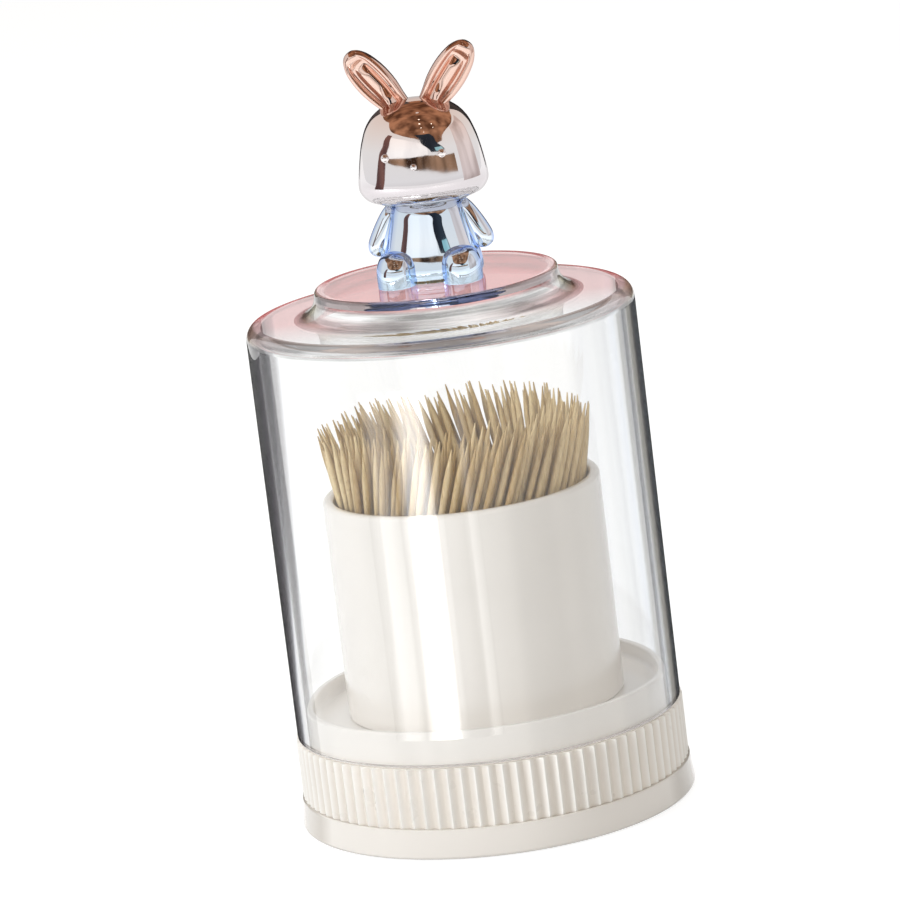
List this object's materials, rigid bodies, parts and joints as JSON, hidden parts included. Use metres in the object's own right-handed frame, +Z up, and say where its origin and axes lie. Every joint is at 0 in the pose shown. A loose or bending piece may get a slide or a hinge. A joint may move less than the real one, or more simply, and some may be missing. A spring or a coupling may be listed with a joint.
{
  "type": "toothpick holder",
  "caption": "Round countertop toothpick holder: fluted base with a dished tray, lift-out cup of toothpicks, and a clear lift-off cover with a small plated rabbit knob.",
  "frame": {"origin": "centre of the base on the surface it stands on", "axes": "+Z up along the holder's axis; the figure on the cover faces -Y, turned 9 degrees towards -X; +X to the viewer's right"},
  "size_m": [0.0904, 0.0904, 0.176],
  "materials": {
    "ring_cream": "satin moulded",
    "foot_cream": "polished",
    "tray_white": "polished",
    "pad_rubber": "matte",
    "screw_steel": "zinc plated",
    "cover_clear": "clear polished, with a faint pink tint in its top",
    "cup_ivory": "polished",
    "bamboo": "bare, fine grained",
    "plated_blue": "mirror plated, pale blue",
    "plated_rose": "mirror plated, rose gold"
  },
  "bodies": {
    "base": {"base_foot": "foot_cream", "foot_pad": "pad_rubber", "fluted_ring": "ring_cream", "tray": "tray_white", "base_screw_1": "screw_steel", "base_screw_2": "screw_steel", "base_screw_3": "screw_steel"},
    "cup": {"cup": "cup_ivory"},
    "toothpicks": {"toothpicks_front": "bamboo", "toothpicks_right": "bamboo", "toothpicks_back": "bamboo", "toothpicks_left": "bamboo", "toothpick_01": "bamboo", "toothpick_02": "bamboo", "toothpick_03": "bamboo", "toothpick_04": "bamboo", "toothpick_05": "bamboo", "toothpick_06": "bamboo", "toothpick_07": "bamboo", "toothpick_08": "bamboo", "toothpick_09": "bamboo", "toothpick_11": "bamboo", "toothpick_12": "bamboo", "toothpick_13": "bamboo", "toothpick_14": "bamboo", "toothpick_15": "bamboo", "toothpick_16": "bamboo", "toothpick_17": "bamboo", "toothpick_18": "bamboo", "toothpick_19": "bamboo", "toothpick_20": "bamboo"},
    "loose_toothpick": {"toothpick_10": "bamboo"},
    "cover": {"cover_shell": "cover_clear", "rabbit_body": "plated_blue", "rabbit_head": "plated_rose", "rabbit_ear_left": "plated_rose", "rabbit_ear_right": "plated_rose", "rabbit_arm_left": "plated_blue", "rabbit_arm_right": "plated_blue"}
  },
  "joints": [
    {"name": "cover_lift", "type": "slide", "parent": "base", "child": "cover", "axis": [0, 0, 1], "range_m": [0, 0.08]},
    {"name": "cup_lift", "type": "slide", "parent": "base", "child": "cup", "axis": [0, 0, 1], "range_m": [0, 0.006]},
    {"name": "toothpicks_lift", "type": "slide", "parent": "cup", "child": "toothpicks", "axis": [0, 0, 1], "range_m": [0, 0.004]},
    {"name": "toothpick_draw", "type": "slide", "parent": "toothpicks", "child": "loose_toothpick", "axis": [0.2651, -0.1987, 0.9435], "range_m": [0, 0.0125]}
  ]
}
